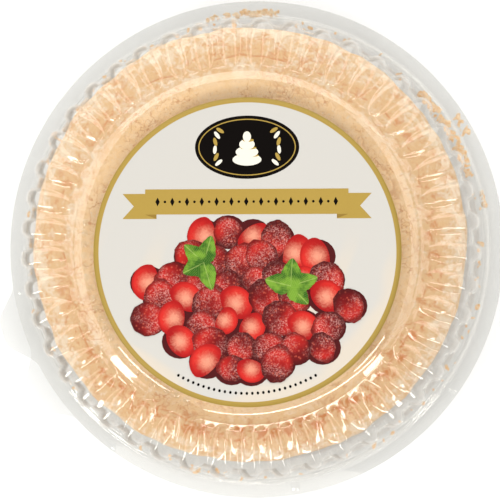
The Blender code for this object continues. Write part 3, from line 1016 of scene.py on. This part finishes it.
class PAVLOVA_OT_fruit_print(bpy.types.Operator):
    """Makes the printed heap of red fruit with its leaves"""
    bl_idname = "pavlova.fruit_print"
    bl_label = "Fruit Print"

    def execute(self, context):
        source = random.Random(11)
        pale = srgb(226, 168, 158)
        materials = [
            print_material("fruit_whole", lambda tree: fruit_paint(
                tree, srgb(104, 10, 14), srgb(186, 34, 28), pale, False)),
            print_material("fruit_cut", lambda tree: fruit_paint(
                tree, srgb(158, 16, 18), srgb(204, 44, 36), srgb(232, 160, 130), True)),
            print_material("leaf_print", leaf_paint),
            print_material("gap_print", lambda tree: plain(tree, srgb(74, 14, 16)))]
        shape = bmesh.new()
        level = 0.02 * MM
        middles = heap_places(source)
        for centre in middles:
            level += 0.001 * MM
            slab(shape, ellipse(centre, 10.4 * MM, 9.6 * MM, 20), 0.0, level, 3)
        for centre in middles:
            level += 0.008 * MM
            cut = source.random() < 0.36
            size = source.uniform(7.4, 10.2) * MM
            outline = (wedge_outline if cut else berry_outline)(size, source)
            turn = source.uniform(0.0, 2 * math.pi)
            uv = [(x / size, y / size) for x, y in outline]
            slab(shape, placed(outline, centre, turn), 0.0, level, 1 if cut else 0, uv)
        for centre, lean in (((-24.0, -6.0), 2.4), ((25.0, -19.0), 0.3)):
            for turn in (-1.1, 0.0, 1.2, 2.6):
                level += 0.008 * MM
                outline = leaf_outline(source.uniform(13.0, 17.0) * MM, source.uniform(8.0, 10.0) * MM)
                uv = [(x / (15.0 * MM), y / (5.0 * MM)) for x, y in outline]
                middle = (centre[0] * MM, centre[1] * MM)
                slab(shape, placed(outline, middle, lean + turn), 0.0, level, 2, uv)
        print_piece("label_fruit", shape, materials)
        return {"FINISHED"}


# ------------------------------------------------------------------ stage


def softbox(name, place, target, size, brightness):
    """A flat light that is mirrored at its brightness, but isn't seen itself."""
    light = bpy.data.lights.new(name, "AREA")
    light.shape = "RECTANGLE"
    light.size, light.size_y = size
    light.energy = brightness * math.pi * light.size * light.size_y
    lamp = new_object(name, light)
    lamp.location = place
    lamp.rotation_euler = (Vector(target) - Vector(place)).to_track_quat("-Z", "Y").to_euler()
    lamp.visible_camera = False
    return lamp


def around(turn, lift, distance):
    """A place at a turn from +X and a lift above the floor, seen from the pack's middle."""
    turn, lift = math.radians(turn), math.radians(lift)
    return Vector((distance * math.cos(lift) * math.cos(turn),
                   distance * math.cos(lift) * math.sin(turn),
                   distance * math.sin(lift) + 0.04))


SOFTBOXES = (   # name, turn from +X, lift above the floor, width and height, brightness
    ("softbox_left", 218.0, 25.0, (0.21, 1.05), 13.0),
    ("softbox_right", 313.0, 32.0, (0.20, 0.80), 13.0),
    ("lamp_left", 217.0, 65.0, (0.24, 0.11), 12.0),
    ("lamp_right", 312.0, 65.0, (0.24, 0.11), 12.0),
    ("strip_front", 281.0, 57.0, (1.2, 0.10), 13.0),
    ("panel_left", 180.0, 39.0, (2.4, 0.70), 1.6),
    ("panel_right", 10.0, 52.0, (2.0, 0.62), 1.6),
    ("panel_back", 90.0, 25.0, (3.0, 1.30), 2.4),
)


class PAVLOVA_OT_stage(bpy.types.Operator):
    """Makes the pale floor, the soft studio light and the camera"""
    bl_idname = "pavlova.stage"
    bl_label = "Floor, Light and Camera"

    def execute(self, context):
        stage = context.scene.pavlova_stage
        bpy.ops.mesh.primitive_circle_add(vertices=96, radius=6.0, fill_type="NGON",
                                          location=(0.0, 0.0, -0.2 * MM))
        floor = context.object
        floor.name = "floor"
        material, tree, output = new_material("floor")
        shader = add(tree, "ShaderNodeBsdfPrincipled",
                     {"Base Color": (*stage.floor, 1.0), "Roughness": 0.9, "Specular IOR Level": 0.1,
                      "Emission Color": (1.0, 1.0, 1.0, 1.0), "Emission Strength": stage.glow})
        tree.links.new(shader.outputs[0], output.inputs["Surface"])
        floor.data.materials.append(material)
        world = bpy.data.worlds.new("studio")
        world.use_nodes = True
        world.node_tree.nodes["Background"].inputs["Strength"].default_value = stage.fill
        world.node_tree.nodes["Background"].inputs["Color"].default_value = (1.0, 1.0, 1.0, 1.0)
        context.scene.world = world
        for name, turn, lift, size, brightness in SOFTBOXES:
            softbox(name, around(turn, lift, 1.6), (0.0, 0.0, 0.03), size, brightness)
        softbox("panel_over_front", (-0.10, -0.50, 1.25), (-0.05, -0.1, 0.0), (0.5, 0.55), 0.9)
        tilt, side = math.radians(6.485), math.radians(-9.352)
        aim = Vector((-0.09, -1.0, 30.0)) * MM
        toward = Vector((math.sin(tilt) * math.cos(side), math.sin(tilt) * math.sin(side), math.cos(tilt)))
        right = Vector((0.0, 1.0, 0.0)).cross(toward).normalized()
        axes = Matrix((right, toward.cross(right), toward)).transposed()
        camera = new_object("camera", bpy.data.cameras.new("camera"))
        camera.data.lens = stage.lens
        camera.data.sensor_width = 36.0
        camera.matrix_world = Matrix.Translation(aim + 1.2 * toward) @ axes.to_4x4()
        context.scene.camera = camera
        context.scene.view_settings.view_transform = "Standard"
        return {"FINISHED"}


# ------------------------------------------------------------------ panel and run


OPERATORS = (PAVLOVA_OT_crust, PAVLOVA_OT_crumbs, PAVLOVA_OT_clear_tray, PAVLOVA_OT_clear_lid, PAVLOVA_OT_label,
             PAVLOVA_OT_ornament, PAVLOVA_OT_fruit_print, PAVLOVA_OT_stage)
SETTINGS = {"pavlova_pack": PackSettings, "pavlova_crust": CrustSettings,
            "pavlova_label": LabelSettings, "pavlova_stage": StageSettings}


class PAVLOVA_PT_panel(bpy.types.Panel):
    """Lists the pieces and their settings"""
    bl_idname = "PAVLOVA_PT_panel"
    bl_label = "Packed Pavlova"
    bl_space_type = "VIEW_3D"
    bl_region_type = "UI"
    bl_category = "Pavlova"

    def draw(self, context):
        for name, group in SETTINGS.items():
            box = self.layout.box()
            for setting in group.__annotations__:
                box.prop(getattr(context.scene, name), setting)
        for operator in OPERATORS:
            self.layout.operator(operator.bl_idname)


def register():
    for name, group in SETTINGS.items():
        bpy.utils.register_class(group)
        setattr(bpy.types.Scene, name, bpy.props.PointerProperty(type=group))
    for operator in OPERATORS:
        bpy.utils.register_class(operator)
    bpy.utils.register_class(PAVLOVA_PT_panel)


def unregister():
    bpy.utils.unregister_class(PAVLOVA_PT_panel)
    for operator in reversed(OPERATORS):
        bpy.utils.unregister_class(operator)
    for name, group in SETTINGS.items():
        delattr(bpy.types.Scene, name)
        bpy.utils.unregister_class(group)


def main():
    register()
    bpy.ops.pavlova.crust()
    bpy.ops.pavlova.crumbs()
    bpy.ops.pavlova.clear_tray()
    bpy.ops.pavlova.clear_lid()
    bpy.ops.pavlova.label()
    bpy.ops.pavlova.ornament()
    bpy.ops.pavlova.fruit_print()
    bpy.ops.pavlova.stage()


if __name__ == "__main__":
    main()
